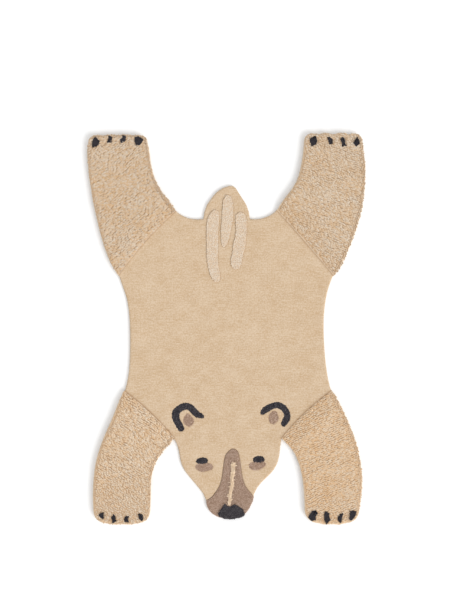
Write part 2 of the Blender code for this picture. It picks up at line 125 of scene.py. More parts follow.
def far_from(points, loop, reach=FAR):
    """Each point's distance from a closed line, negative inside it, and at most the reach."""
    close = ((points > loop.min(axis=0) - reach) & (points < loop.max(axis=0) + reach)).all(axis=1)
    if not close.all():
        found = np.full(len(points), reach)
        if close.any():
            found[close] = far_from(points[close], loop, reach)
        return found
    found = np.empty(len(points))
    run = np.roll(loop, -1, axis=0) - loop
    long = np.maximum((run**2).sum(axis=1), 1e-18)
    rise = np.where(np.abs(run[:, 1]) > 1e-12, run[:, 1], 1e-12)
    for first in range(0, len(points), AT_A_TIME):
        some = points[first : first + AT_A_TIME, None]
        along = np.clip(((some - loop) * run).sum(axis=2) / long, 0, 1)
        gap = np.linalg.norm(loop + along[:, :, None] * run - some, axis=2).min(axis=1)
        above = loop[:, 1] > some[:, :, 1]
        crosses = above != np.roll(above, -1, axis=1)
        meets = loop[:, 0] + (some[:, :, 1] - loop[:, 1]) / rise * run[:, 0]
        inside = (crosses & (meets > some[:, :, 0])).sum(axis=1) % 2 == 1
        found[first : first + AT_A_TIME] = np.where(inside, -gap, gap)
    return found


def grid_inside(edge, pitch, clearance):
    """Points on a square grid inside a closed line, and at least a clearance from it."""
    low, high = edge.min(axis=0), edge.max(axis=0)
    across, along = (np.arange(a + pitch / 2, b, pitch) for a, b in zip(low, high))
    grid = np.stack(np.meshgrid(across, along), axis=-1).reshape(-1, 2)
    return grid[far_from(grid, edge) < -clearance]


def closed_slab(name, edge, inner, heights, wall):
    """A closed mesh: a top over the edge and the points inside it, and walls down to a flat base.

    heights has a height for each point of the edge and then for each inner one. wall has
    (inset, height) for each further ring, down to the base.
    """
    flat = [Vector(p) for p in np.vstack([edge, inner])]
    ring = [list(range(len(edge)))]
    places, _, faces, sources, _, _ = delaunay_2d_cdt(flat, [], ring, 1, 1e-7)
    form = bmesh.new()
    top = [form.verts.new((p.x, p.y, heights[min(s)])) for p, s in zip(places, sources)]
    for face in faces:
        form.faces.new([top[i] for i in face])
    at = {min(s): i for i, s in enumerate(sources)}
    upper = [top[at[i]] for i in range(len(edge))]
    for inset, height in wall:
        line = moved_out(edge, -inset)
        crossed = far_from(line, edge) > -0.7 * inset    # at sharp corners, where it is moved less
        line[crossed] = moved_out(edge, -0.2 * inset)[crossed]
        lower = [form.verts.new((x, y, height)) for x, y in line]
        for i in range(len(edge)):
            j = (i + 1) % len(edge)
            form.faces.new((lower[i], lower[j], upper[j], upper[i]))
        upper = lower
    base = [v.co.to_2d() for v in upper]
    for a, b, c in delaunay_2d_cdt(base, [], ring, 1, 1e-9)[2]:
        form.faces.new((upper[c], upper[b], upper[a]))
    mesh = bpy.data.meshes.new(name)
    form.to_mesh(mesh)
    form.free()
    piece = bpy.data.objects.new(name, mesh)
    bpy.context.collection.objects.link(piece)
    mesh.shade_smooth()
    return piece


class Value:
    """A value in a node tree. Sums, products and so on, of it and of numbers, add Math nodes."""

    def __init__(self, tree, socket=None):
        self.tree = tree
        self.socket = socket

    def node(self, kind, settings=(), values=(), out=0):
        """An output of a new node, whose settings and then whose sockets are set."""
        node = self.tree.nodes.new(kind)
        for name, setting in dict(settings).items():
            if name == "stops":
                for _ in setting[2:]:
                    node.color_ramp.elements.new(1.0)
                for stop, (place, colour) in zip(node.color_ramp.elements, setting):
                    stop.position = place
                    stop.color = colour
            else:
                setattr(node, name, setting)
        for name, value in dict(values).items():
            socket = self.pick(node.inputs, name)
            if isinstance(value, Value):
                self.tree.links.new(value.socket, socket)
            else:
                socket.default_value = value
        return Value(self.tree, self.pick(node.outputs, out))

    @staticmethod
    def pick(sockets, name):
        """A socket by its number, or the one in use that has this name."""
        if isinstance(name, int):
            return sockets[name]
        return next(s for s in sockets if s.enabled and s.name == name)

    def maths(self, operation, a, b=0.0, c=0.0):
        return self.node("ShaderNodeMath", {"operation": operation}, {0: a, 1: b, 2: c})

    def __add__(self, other):
        return self.maths("ADD", self, other)

    def __sub__(self, other):
        return self.maths("SUBTRACT", self, other)

    def __rsub__(self, other):
        return self.maths("SUBTRACT", other, self)

    def __mul__(self, other):
        return self.maths("MULTIPLY", self, other)

    def __truediv__(self, other):
        return self.maths("DIVIDE", self, other)

    def __rtruediv__(self, other):
        return self.maths("DIVIDE", other, self)

    __radd__ = __add__
    __rmul__ = __mul__

    def clamped(self):
        return self.maths("MINIMUM", self.maths("MAXIMUM", self, 0.0), 1.0)


def new_material(name, roughness):
    """A material's name, its tree as an empty value, and its shader, with a plain roughness."""
    material = bpy.data.materials.new(name)
    material.use_nodes = True
    shader = material.node_tree.nodes["Principled BSDF"]
    shader.inputs["Roughness"].default_value = roughness
    shader.inputs["Specular IOR Level"].default_value = 0.2
    return material, Value(material.node_tree), shader


def stretched(tree, x, y):
    """Object coordinates, stretched, for a pattern that runs with the rug."""
    place = tree.node("ShaderNodeTexCoord", out="Object")
    return tree.node("ShaderNodeVectorMath", {"operation": "MULTIPLY"}, {0: place, 1: (x, y, 1.0)})


def noise(tree, vector, scale, detail=2.0):
    values = {"Vector": vector, "Scale": scale, "Detail": detail}
    return tree.node("ShaderNodeTexNoise", values=values)


def blend(tree, factor, a, b):
    """Colour a turned into b by the factor."""
    settings = {"data_type": "RGBA"}
    return tree.node("ShaderNodeMix", settings, {"Factor": factor, "A": a, "B": b}, "Result")


def canvas():
    material, tree, shader = new_material("canvas", 0.9)
    turns = math.tau * THREADS_PER_METRE / 2
    apart = tree.node("ShaderNodeSeparateXYZ", values={0: stretched(tree, turns, turns)}, out="X")
    down = Value(tree.tree, apart.socket.node.outputs["Y"])
    weave = tree.maths("SINE", apart) * tree.maths("SINE", down) * 0.5 + 0.5
    worn = noise(tree, stretched(tree, 1.0, 1.0), 35.0)
    colour = blend(tree, (weave * 0.7 + worn * 0.3).clamped(), CANVAS_DARK, CANVAS_LIGHT)
    tree.tree.links.new(colour.socket, shader.inputs["Base Color"])
    bump = tree.node("ShaderNodeBump", values={"Strength": 0.4, "Distance": 0.001, "Height": weave})
    tree.tree.links.new(bump.socket, shader.inputs["Normal"])
    return material


def declare(piece, material, slot, *nodes):
    """Gives a piece its material, attaches it to the root body and hides the solids that it stands for.
    Its slot is not used.
    """
    if not piece.data.materials:
        piece.data.materials.append(material)
    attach(piece, "root")
    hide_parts(*nodes)


rug_edge = edges_at("ground", CLOTH_THICK / 2)[0]
cloth_inner = grid_inside(rug_edge, CLOTH_PITCH, CLOTH_PITCH / 3)
ground_cloth = closed_slab(
    "ground_cloth",
    rug_edge,
    cloth_inner,
    np.full(len(rug_edge) + len(cloth_inner), CLOTH_THICK),
    [(0.0, 0.0)],
)
declare(ground_cloth, canvas(), "field_wool", "ground")


# ---- Short pile of torso, head and tail ----------------------------------------------------
# Beige wool in fine rows across the rug, sheared short and flat, so it looks nearly smooth. Its
# edge is rounded over and it is carved down a little round every other colour, with painted shade
# along the carved lines, and a thin brown painted shade darkens the crease where it meets the
# higher legs.

from mathutils.kdtree import KDTree

FIELD_TOP = 0.011
FIELD_WAIST = 0.0066     # height of the widest line of its edge
FIELD_FOOT = 0.0022
FIELD_CUT = 0.0052       # height at which its outline is read off the solid
INLAY_CUT = 0.006        # and at which the outlines of other colours are
FIELD_PITCH = 0.0045
FIELD_RIM = 0.0055       # how far in from its edge the pile is rounded over
RIM_RINGS = (0.0008, 0.0020, 0.0038)
CARVE_RINGS = (-0.0030, -0.0012, 0.0, 0.0012, 0.0028)
CARVE_DEEP = 0.0012
CARVE_WIDE = 0.0020
PIT = 0.0030             # how much lower the pile lies under an area of another colour
PIT_FROM = 0.0006        # where that starts, outside the area's outline
PIT_RAMP = 0.0018
SWELLS = (               # slow unevenness of the top: height, size, seed
    (0.0004, 0.11, 1),
    (0.0002, 0.03, 2),
)
BRUSHED_UP = 0.0018      # how much higher the pile stands against a leg
BRUSHED_WIDE = 0.0150
BESIDE = 0.004           # where the edge is this near to a leg, it isn't rounded over
EDGE_STEP = 0.004
CLOSED_UP = 0.0013       # how far the edge is pushed against a leg
LEG_WAIST = 0.0125       # height of the widest line of a leg
LEGS = {                 # and how dark the painted shade of the crease beside each is
    "rear_left": 0.7, "rear_right": 0.8, "front_left": 1.2, "front_right": 1.2,
}
# how far from a leg the painted shade of its crease reaches
CREASE_SHADE_WIDE = 0.0105
FIELD_DARK = (0.520, 0.365, 0.222, 1.0)
FIELD_LIGHT = (0.640, 0.500, 0.358, 1.0)
# painted shade: a warm brown laid over the creases and carved lines
PAINTED_SHADE_BROWN = (0.340, 0.195, 0.100, 1.0)
INLAYS_AND_SHADE = {               # what is let into it, and how strong the painted shade of the carved line round each is
    "ear_left": 0.1, "ear_right": 0.1, "ear_inside_left": 0.35, "ear_inside_right": 0.35,
    "eye_left": 0.1, "eye_right": 0.1, "eye_patch_left": 0.4, "eye_patch_right": 0.4,
    "stripe_left": 0.5, "stripe_middle": 0.5, "stripe_right": 0.5,
}
SHADE_SIDE = np.array([-0.80, 0.60])   # the painted shade of carved lines is darkest on this side of an area, away from the lamp
WAVES = 12


def smooth_noise(points, size, seed):
    """Even swells of about this size over the points, from -1 to 1."""
    chance = np.random.default_rng(seed)
    found = np.zeros(len(points))
    for _ in range(WAVES):
        turn = chance.uniform(0, math.tau)
        wave = chance.uniform(0.7, 1.5) * math.tau / size
        found += np.sin(points @ (wave * np.array([math.cos(turn), math.sin(turn)])) + turn * 7)
    return found / WAVES**0.5 / 1.5


def nearest(points, others):
    """For each point, which of the others is nearest."""
    tree = KDTree(len(others))
    for i, (x, y) in enumerate(others):
        tree.insert((x, y, 0.0), i)
    tree.balance()
    return np.array([tree.find((x, y, 0.0))[1] for x, y in points])


def field_pile():
    """The short pile, with the painted shade of its carved lines and of its creases kept as two
    attributes.
    """
    edge = evenly(edges_at("ground", FIELD_CUT)[0], EDGE_STEP)
    legs = {leg: edges_at("leg_" + leg, LEG_WAIST)[0] for leg in LEGS}
    for loop in legs.values():
        pushed = far_from(edge, loop) < BESIDE
        edge[pushed] = moved_out(edge, CLOSED_UP)[pushed]
    inlays = {node: edges_at(node, INLAY_CUT)[0] for node in INLAYS_AND_SHADE}
    points = [grid_inside(edge, FIELD_PITCH, RIM_RINGS[-1] + FIELD_PITCH / 3)]
    for inset in RIM_RINGS:
        ring = moved_out(edge, -inset)
        points.append(ring[far_from(ring, edge) < -0.9 * inset])
    for loop in inlays.values():
        for reach in CARVE_RINGS:
            ring = moved_out(loop, reach)
            points.append(ring[far_from(ring, edge) < -RIM_RINGS[0]])
    inner = np.vstack(points)
    everything = np.vstack([edge, inner])
    inward = np.concatenate([np.zeros(len(edge)), -far_from(inner, edge)])
    beside = np.full(len(everything), FAR)
    crease = np.zeros(len(everything))
    for leg, painted_shade in LEGS.items():
        gap = far_from(everything, legs[leg])
        beside = np.minimum(beside, gap)
        # painted shade of the crease, strongest right beside each leg
        crease = np.maximum(crease, painted_shade * np.clip(1 - gap / CREASE_SHADE_WIDE, 0, 1) ** 2)
    rise = np.clip(inward / FIELD_RIM + np.clip(1.5 - beside / BESIDE, 0, 1), 0, 1)
    height = FIELD_WAIST + (FIELD_TOP - FIELD_WAIST) * np.sqrt(1 - (1 - rise) ** 2)
    height += BRUSHED_UP * np.clip(1 - beside / BRUSHED_WIDE, 0, 1) ** 2
    for swing, size, seed in SWELLS:
        height += swing * smooth_noise(everything, size, seed) * rise
    carve = np.zeros(len(everything))
    for node, loop in inlays.items():
        gap = far_from(everything, loop)
        near = np.exp(-((gap / CARVE_WIDE) ** 2))
        height -= CARVE_DEEP * near * rise
        height -= PIT * np.clip((PIT_FROM - gap) / PIT_RAMP, 0, 1)
        away = everything - loop.mean(axis=0)
        away /= np.maximum(np.linalg.norm(away, axis=1), 1e-6)[:, None]
        # painted shade of a carved line, darkest on the side away from the lamp
        shade = near * np.clip(0.35 + 0.65 * (away @ SHADE_SIDE), 0, 1)
        carve = np.maximum(carve, shade * INLAYS_AND_SHADE[node])
    pile = closed_slab("short_pile", edge, inner, height, [(0.001, FIELD_FOOT)])
    co = np.empty(len(pile.data.vertices) * 3)
    pile.data.vertices.foreach_get("co", co)
    co = co.reshape(-1, 3)
    order = nearest(co[:, :2], everything)
    for name, values in (("carve", carve), ("crease", crease)):
        attribute = pile.data.attributes.new(name, "FLOAT", "POINT")
        attribute.data.foreach_set("value", values[order].astype(np.float32))
    return pile


def field_wool():
    material, tree, shader = new_material("field_wool_pile", 0.95)
    even = stretched(tree, 1.0, 1.0)
    tips = noise(tree, even, 170.0, 2.0)
    rows = noise(tree, stretched(tree, 28.0, 230.0), 1.0, 2.0)
    patches = noise(tree, stretched(tree, 0.8, 1.2), 17.0, 2.0)
    tone = (tips - 0.5) * 2.3 + (rows - 0.5) * 1.3 + (patches - 0.5) * 0.9 + 0.5
    colour = blend(tree, tone.clamped(), FIELD_DARK, FIELD_LIGHT)
    carve = tree.node("ShaderNodeAttribute", {"attribute_name": "carve"}, out="Fac")
    crease = tree.node("ShaderNodeAttribute", {"attribute_name": "crease"}, out="Fac")
    ragged = noise(tree, even, 120.0, 1.0) * 0.9 + 0.35
    # painted shade: the colour is darkened towards brown along carved lines and creases
    painted_shade = tree.maths("MAXIMUM", carve * 0.7, crease * ragged)
    colour = blend(tree, painted_shade.clamped(), colour, PAINTED_SHADE_BROWN)
    tree.tree.links.new(colour.socket, shader.inputs["Base Color"])
    relief = tips * 0.8 + rows * 0.4
    values = {"Strength": 0.4, "Distance": 0.002, "Height": relief}
    bump = tree.node("ShaderNodeBump", values=values)
    tree.tree.links.new(bump.socket, shader.inputs["Normal"])
    shader.inputs["Sheen Weight"].default_value = 0.1
    return material


short_pile = field_pile()
declare(short_pile, field_wool(), "field_wool", "ground")


# ---- Shag of the four legs -----------------------------------------------------------------
# Higher cut pile in locks of beige wool, tufted through the ground cloth in slanting rows. The
# locks lean towards the paws or across the leg and lie calmer at the paws. Their roots and
# undersides are painted darker and browner than their tips, as painted shade between the locks.

LOCK_RINGS = (   # along the lock: share of its length, reach, rise, half width, slope from upright
    (0.00, 0.00, -0.70, 0.34, 60.0),
    (0.35, 0.24, 0.42, 0.50, 75.0),
    (0.75, 0.66, 0.60, 0.42, 100.0),
)
LOCK_TIP = (1.00, 1.00, 0.20)
LOCK_SIDES = 4
LOCK_THICK = 1.0         # a strand's thickness, as a share of its width
LOCK_STRANDS = (         # side by side in a lock: sideways, forwards, width, rise
    (-0.22, 0.05, 0.62, 0.96),
    (0.22, -0.05, 0.60, 1.00),
)
REAR_DARK = (0.600, 0.425, 0.262, 1.0)
REAR_MID = (0.633, 0.520, 0.396, 1.0)
REAR_LIGHT = (0.660, 0.605, 0.520, 1.0)
# painted shade: the darker colour of the rear locks' roots, between the locks
REAR_ROOT_SHADE = (0.560, 0.325, 0.145, 1.0)
FRONT_DARK = (0.640, 0.442, 0.262, 1.0)
FRONT_MID = (0.675, 0.546, 0.402, 1.0)
FRONT_LIGHT = (0.700, 0.630, 0.525, 1.0)
# painted shade: the darker colour of the front locks' roots, between the locks
FRONT_ROOT_SHADE = (0.590, 0.325, 0.140, 1.0)
JOIN_HEIGHT = 0.0125     # height of the bed where it meets the short pile
JOIN_SLOPE = 0.12        # how fast it rises from there
JOIN_REACH = 0.08        # how far that slope may go
JOIN_FLAT = 0.010        # how wide the strip is on which it has no rounded rim
JOIN_KEPT = 0.012        # how wide the strip is on which its outline stays as it is
TOP_ROUNDS = 4           # how often the lumps of its top are evened
RIM_ROUNDS = 1           # and the locks of its outline
RIM_FALL = 0.35          # how far the bed's rim falls away, as a share of the leg's
SHAG_BED = 0.86          # height of the bed that the locks stand on, as a share of the leg's
WALL_UP = 0.8            # a bed's surface is its wall where it faces up less than this
TIP_FROM = 0.9           # share of a tuft past which it has its tip's colour, with no painted root shade


def tuft(name, rings, tip, thick, strands, sides):
    """One tuft of strands, one long and one wide, which leans towards +X, with a map."""
    form = bmesh.new()
    uv = form.loops.layers.uv.new("OFBake")
    turns = np.arange(sides) * math.tau / sides
    shares = [ring[0] for ring in rings]

    def face(corners, places):
        made = form.faces.new(corners)
        for loop, place in zip(made.loops, places):
            loop[uv].uv = place

    for number, (sideways, forwards, width, rise) in enumerate(strands):
        stack = []
        for along, reach, height, half, slope in rings:
            slope = math.radians(slope)
            half *= width
            stack.append([
                form.verts.new((
                    forwards + reach + half * thick * math.cos(t) * math.cos(slope),
                    sideways * (1 - 0.4 * along) + half * math.sin(t),
                    rise * height - half * thick * math.cos(t) * math.sin(slope),
                ))
                for t in turns
            ])
        end = form.verts.new((forwards + tip[1], sideways * 0.6, rise * tip[2]))
        side = number / len(strands)
        lit = 0.2 + 0.8 * (1 - np.cos(turns)) / 2      # painted light and shade: a strand's upper side takes the tip's colour, its underside the root's
        for (low, high), (a, b) in zip(zip(shares, shares[1:]), zip(stack, stack[1:])):
            for i in range(sides):
                j = (i + 1) % sides
                face((a[i], a[j], b[j], b[i]), (
                    (side, lit[i] * (low + 0.2)), (side + 0.2, lit[j] * (low + 0.2)),
                    (side + 0.2, lit[j] * (high + 0.2)), (side, lit[i] * (high + 0.2))))
        for i in range(sides):
            j = (i + 1) % sides
            face((stack[-1][i], stack[-1][j], end), (
                (side, lit[i] * 0.95), (side + 0.2, lit[j] * 0.95), (side + 0.1, 0.9)))
        face(stack[0][::-1], [(side + 0.1 * (i % 2), 0.04 * (i % 3)) for i in range(sides)])
    mesh = bpy.data.meshes.new(name)
    form.to_mesh(mesh)
    form.free()
    thing = bpy.data.objects.new(name, mesh)
    bpy.context.collection.objects.link(thing)
    return thing


def tufting():
    """Geometry Nodes that set rows of tufts on a bed and join them to it."""
    group = bpy.data.node_groups.new("tufting", "GeometryNodeTree")
    for name, kind in (
        ("Bed", "Geometry"), ("Tuft", "Object"), ("Wool", "Material"),
        ("Row pitch", "Float"), ("Tuft pitch", "Float"), ("Row turn", "Float"), ("Shake", "Float"),
        ("Nap", "Float"), ("Swirl", "Float"), ("Swirl size", "Float"),
        ("Wobble", "Float"), ("Height", "Float"), ("Reach", "Float"), ("Width", "Float"),
        ("Stray", "Float"), ("Spread", "Float"), ("Bend", "Float"), ("Ahead", "Float"),
        ("Lump", "Float"), ("Lump size", "Float"), ("Join turn", "Float"), ("Clear", "Float"),
        ("Speckle", "Float"), ("Patch", "Float"), ("Patch size", "Float"), ("Tone", "Float"),
        ("Calm from", "Float"), ("Calm to", "Float"), ("Seed", "Int"),
    ):
        group.interface.new_socket(name, in_out="INPUT", socket_type="NodeSocket" + kind)
    group.interface.new_socket("Pile", in_out="OUTPUT", socket_type="NodeSocketGeometry")
    entry = group.nodes.new("NodeGroupInput")
    result = group.nodes.new("NodeGroupOutput")
    tree = Value(group)

    def take(name):
        return Value(group, entry.outputs[name])

    def vector(operation, a, b, out="Vector"):
        return tree.node("ShaderNodeVectorMath", {"operation": operation}, {0: a, 1: b}, out)

    def triple(x=0.0, y=0.0, z=0.0):
        return tree.node("ShaderNodeCombineXYZ", values={"X": x, "Y": y, "Z": z})

    def position():
        return tree.node("GeometryNodeInputPosition")

    def look_down(aside, out="Is Hit"):
        """What lies straight under the points, seen from above and from aside of them."""
        above = vector("ADD", position(), (0.0, 0.0, 1.0))
        return tree.node("GeometryNodeRaycast", values={
            "Target Geometry": bed, "Source Position": vector("ADD", above, aside),
            "Ray Direction": (0.0, 0.0, -1.0), "Ray Length": 2.0}, out=out)

    def chance(step):
        """An even random number from -0.5 to 0.5 for each tuft."""
        seed = take("Seed") * 10.0 + float(step)
        values = {"Min": -0.5, "Max": 0.5, "Seed": seed}
        return tree.node("FunctionNodeRandomValue", values=values, out="Value")

    def swell(size, step):
        """A slow random wave from -0.5 to 0.5 over the rug."""
        here = vector("ADD", position(), triple(
            take("Seed") * 3.1 + float(step), 0.7 * step, size * 0.5))
        values = {"Vector": here, "Scale": 1.0 / size, "Detail": 1.0}
        return (tree.node("ShaderNodeTexNoise", values=values) - 0.5) * 1.6

    bed = take("Bed")
    low = tree.node("GeometryNodeBoundBox", values={"Geometry": bed}, out="Min")
    high = Value(group, low.socket.node.outputs["Max"])
    across = vector("DISTANCE", low, high, out="Value")
    middle = vector("MULTIPLY", vector("ADD", low, high), (0.5, 0.5, 0.0))
    grid = tree.node("GeometryNodeMeshGrid", values={
        "Size X": across, "Size Y": across,
        "Vertices X": across / take("Tuft pitch") + 1.0,
        "Vertices Y": across / take("Row pitch") + 1.0,
    })
    grid = tree.node("GeometryNodeTransform", values={
        "Geometry": grid, "Translation": middle, "Rotation": triple(z=take("Row turn"))})
    far = tree.maths("ABSOLUTE", tree.node("ShaderNodeSeparateXYZ", values={0: position()}, out="Y"))
    calm = ((far - take("Calm from")) / (take("Calm to") - take("Calm from"))).clamped()
    shake = take("Shake") * (calm * 0.8 + 1.0)
    grid = tree.node("GeometryNodeSetPosition", values={"Geometry": grid, "Offset": triple(
        chance(1) * take("Tuft pitch") * 0.9 + swell(0.12, 4) * take("Bend"),
        chance(2) * shake * take("Row pitch") + swell(0.12, 5) * take("Bend"))})

    # A point stays where the bed lies under it, and at the join also under a place beside it
    hit = look_down((0.0, 0.0, 0.0))
    place = Value(group, hit.socket.node.outputs["Hit Position"])
    normal = Value(group, hit.socket.node.outputs["Hit Normal"])
    clear = look_down(triple(
        tree.maths("COSINE", take("Join turn")) * take("Clear"),
        tree.maths("SINE", take("Join turn")) * take("Clear")))
    missed = tree.node("FunctionNodeBooleanMath", {"operation": "NAND"}, {0: hit, 1: clear})
    points = tree.node("GeometryNodeDeleteGeometry", {"domain": "POINT"}, {
        "Geometry": grid, "Selection": missed})
    points = tree.node("GeometryNodeSetPosition", values={"Geometry": points, "Position": place})

    heading = take("Nap") + swell(take("Swirl size"), 1) * take("Swirl") * 2.0
    heading = heading + chance(3) * take("Stray") * 2.0
    lean = triple(tree.maths("COSINE", heading), tree.maths("SINE", heading))
    turned = tree.node("FunctionNodeAlignRotationToVector", {"axis": "X", "pivot_axis": "Z"}, {
        "Vector": lean})
    nod = tree.node("FunctionNodeEulerToRotation", values={
        "Euler": triple(chance(4) * take("Wobble"), chance(5) * take("Wobble"))})
    turned = tree.node("FunctionNodeRotateRotation", {"rotation_space": "LOCAL"}, {
        "Rotation": turned, "Rotate By": nod})

    # A tuft is shorter where the bed falls away, and where its tip would hang over the rim
    grow = chance(6) * take("Spread") + swell(take("Lump size"), 2) * take("Lump") + 1.0 - calm * 0.18
    upright = tree.node("ShaderNodeSeparateXYZ", values={0: normal}, out="Z")
    fit = (upright * 4.0 - 3.0).clamped() * 0.45 + 0.55
    tall = take("Height") * grow * fit
    reach = take("Reach") * (chance(9) * take("Spread") + 1.0) * (1.0 - calm * 0.30)
    ahead = look_down(tree.node("ShaderNodeVectorMath", {"operation": "SCALE"}, {
        "Vector": lean, "Scale": reach * take("Ahead")}))
    reach = reach * (ahead * 0.7 + 0.3) * fit
    wide = take("Width") * (chance(7) * take("Spread") + 1.0) * (1.0 - calm * 0.22) * fit
    one = tree.node("GeometryNodeObjectInfo", values={"Object": take("Tuft")}, out="Geometry")
    tufts = tree.node("GeometryNodeInstanceOnPoints", values={
        "Points": points, "Instance": one, "Rotation": turned, "Scale": triple(reach, wide, tall)})

    # On the map, the tone of a tuft runs across and its length runs up
    tone = chance(8) * take("Speckle") + swell(take("Patch size"), 3) * take("Patch") + take("Tone")
    tone = tone + calm * 0.2
    tufts = tree.node("GeometryNodeStoreNamedAttribute", {"data_type": "FLOAT", "domain": "INSTANCE"}, {
        "Geometry": tufts, "Name": "tone", "Value": tone.clamped()})
    tufts = tree.node("GeometryNodeRealizeInstances", values={"Geometry": tufts})
    own = tree.node("GeometryNodeInputNamedAttribute", {"data_type": "FLOAT_VECTOR"}, {
        "Name": "OFBake"}, "Attribute")
    own_u = tree.node("ShaderNodeSeparateXYZ", values={0: own}, out="X")
    own_v = Value(group, own_u.socket.node.outputs["Y"])
    tone = tree.node("GeometryNodeInputNamedAttribute", {"data_type": "FLOAT"}, {
        "Name": "tone"}, "Attribute")
    laid = triple(tone * 0.84 + own_u * 0.14 + 0.01, own_v * 0.98 + 0.01)
    tufts = tree.node("GeometryNodeStoreNamedAttribute", {"data_type": "FLOAT2", "domain": "CORNER"}, {
        "Geometry": tufts, "Name": "OFBake", "Value": laid})
    join = group.nodes.new("GeometryNodeJoinGeometry")
    group.links.new(tufts.socket, join.inputs[0])
    group.links.new(bed.socket, join.inputs[0])
    pile = tree.node("GeometryNodeSetShadeSmooth", values={"Geometry": Value(group, join.outputs[0])})
    pile = tree.node("GeometryNodeSetMaterial", values={"Geometry": pile, "Material": take("Wool")})
    group.links.new(pile.socket, result.inputs[0])
    return group


def bed_of(node, share):
    """A merged copy of a solid, lowered to a share of its height, with a small patch of the map."""
    form = bmesh.new()
    form.from_mesh(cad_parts[node].data)
    bmesh.ops.remove_doubles(form, verts=form.verts, dist=WELD)
    foot = min(v.co.z for v in form.verts)
    uv = form.loops.layers.uv.new("OFBake")
    for vertex in form.verts:
        vertex.co.z = foot + (vertex.co.z - foot) * share
    for face in form.faces:
        for loop in face.loops:
            x, y, z = loop.vert.co
            # the bed between the tufts takes the roots' painted shade, its walls less of it
            side = 0.3 if loop.vert.normal.z < WALL_UP else 0.0
            loop[uv].uv = (0.45 + (x + z) % 1.0 * 0.1, 0.46 + side + (y + z) % 1.0 * 0.06)
    mesh = bpy.data.meshes.new(node + "_bed")
    form.to_mesh(mesh)
    form.free()
    mesh.materials.clear()
    bed = bpy.data.objects.new(node + "_bed", mesh)
    bpy.context.collection.objects.link(bed)
    return bed


def tufted(name, node, share, lock, wool, slot, shape=None, **sizes):
    """A piece of tufts on the bed of one solid, made into a plain mesh. shape may change the bed."""
    bed = bed_of(node, share)
    if shape:
        shape(bed)
    tufts = bed.modifiers.new("tufts", "NODES")
    tufts.node_group = TUFTING
    values = {**PLAIN_TUFTS, **sizes, "Tuft": lock, "Wool": wool}
    for socket in TUFTING.interface.items_tree:
        if socket.in_out == "INPUT" and socket.name != "Bed":
            tufts[socket.identifier] = values[socket.name]
    bpy.context.view_layer.update()
    seen = bed.evaluated_get(bpy.context.evaluated_depsgraph_get())
    mesh = bpy.data.meshes.new_from_object(seen)
    mesh.name = name
    piece = bpy.data.objects.new(name, mesh)
    bpy.context.collection.objects.link(piece)
    bpy.data.objects.remove(bed, do_unlink=True)
    declare(piece, wool, slot, node)
    return piece


def tuft_wool(name, tones, root):
    """Wool of separate tufts: three tones run across their map, and up it painted shade fades from the
    root's darker colour to the tip.
    """
    material, tree, shader = new_material(name, 0.95)
    u = tree.node("ShaderNodeUVMap", {"uv_map": "OFBake"})
    u = tree.node("ShaderNodeSeparateXYZ", values={0: u}, out="X")
    v = Value(tree.tree, u.socket.node.outputs["Y"])
    stops = tuple(zip((0.0, 0.5, 1.0), tones))
    tone = tree.node("ShaderNodeValToRGB", {"stops": stops}, {"Fac": u}, "Color")
    # painted shade: towards the root, the tone turns to the root's darker colour
    colour = blend(tree, (v / TIP_FROM).clamped(), root, tone)
    tree.tree.links.new(colour.socket, shader.inputs["Base Color"])
    return material


def evened(values, edges, rounds):
    """Values at the vertices, each turned into the mean of its own and of those along the edges."""
    for _ in range(rounds):
        total, count = values.copy(), np.ones(len(values))
        for here, there in (edges.T, edges.T[::-1]):
            np.add.at(total, here, values[there])
            np.add.at(count, here, 1)
        values = total / count
    return values


def eased(bed):
    """Evens the lumps and the rim of a leg's bed, and slopes it down to the short pile beside it."""
    field_edge = edges_at("ground", FIELD_CUT)[0]
    co = np.array([v.co[:] for v in bed.data.vertices])
    up = np.array([v.normal.z for v in bed.data.vertices])
    edges = np.array([e.vertices[:] for e in bed.data.edges])
    on_top = co[:, 2] > 0.8 * co[:, 2].max()
    away = far_from(co[:, :2], field_edge, JOIN_REACH) > JOIN_KEPT
    level = np.abs(np.diff(co[edges, 2], axis=1)[:, 0]) < 1e-4
    on_wall = np.abs(up[edges]).max(axis=1) < 0.95
    outline = edges[level & on_wall & away[edges].all(axis=1)]
    flat = np.stack([evened(co[:, axis], outline, RIM_ROUNDS) for axis in (0, 1)], axis=1)
    heights = evened(co[:, 2], edges[on_top[edges].all(axis=1)], TOP_ROUNDS)
    top = np.median(heights[on_top])
    rim = (heights > 0.45 * top) & (heights < top)
    heights[rim] = top - RIM_FALL * (top - heights[rim])
    for vertex, (x, y), height in zip(bed.data.vertices, flat, heights):
        vertex.co = (x, y, height)
    for vertex, gap in zip(bed.data.vertices, far_from(flat, field_edge, JOIN_REACH)):
        limit = JOIN_HEIGHT + JOIN_SLOPE * gap
        if gap < JOIN_FLAT and vertex.co.z > 0.6 * JOIN_HEIGHT:
            vertex.co.z = limit
        else:
            vertex.co.z = min(vertex.co.z, limit)


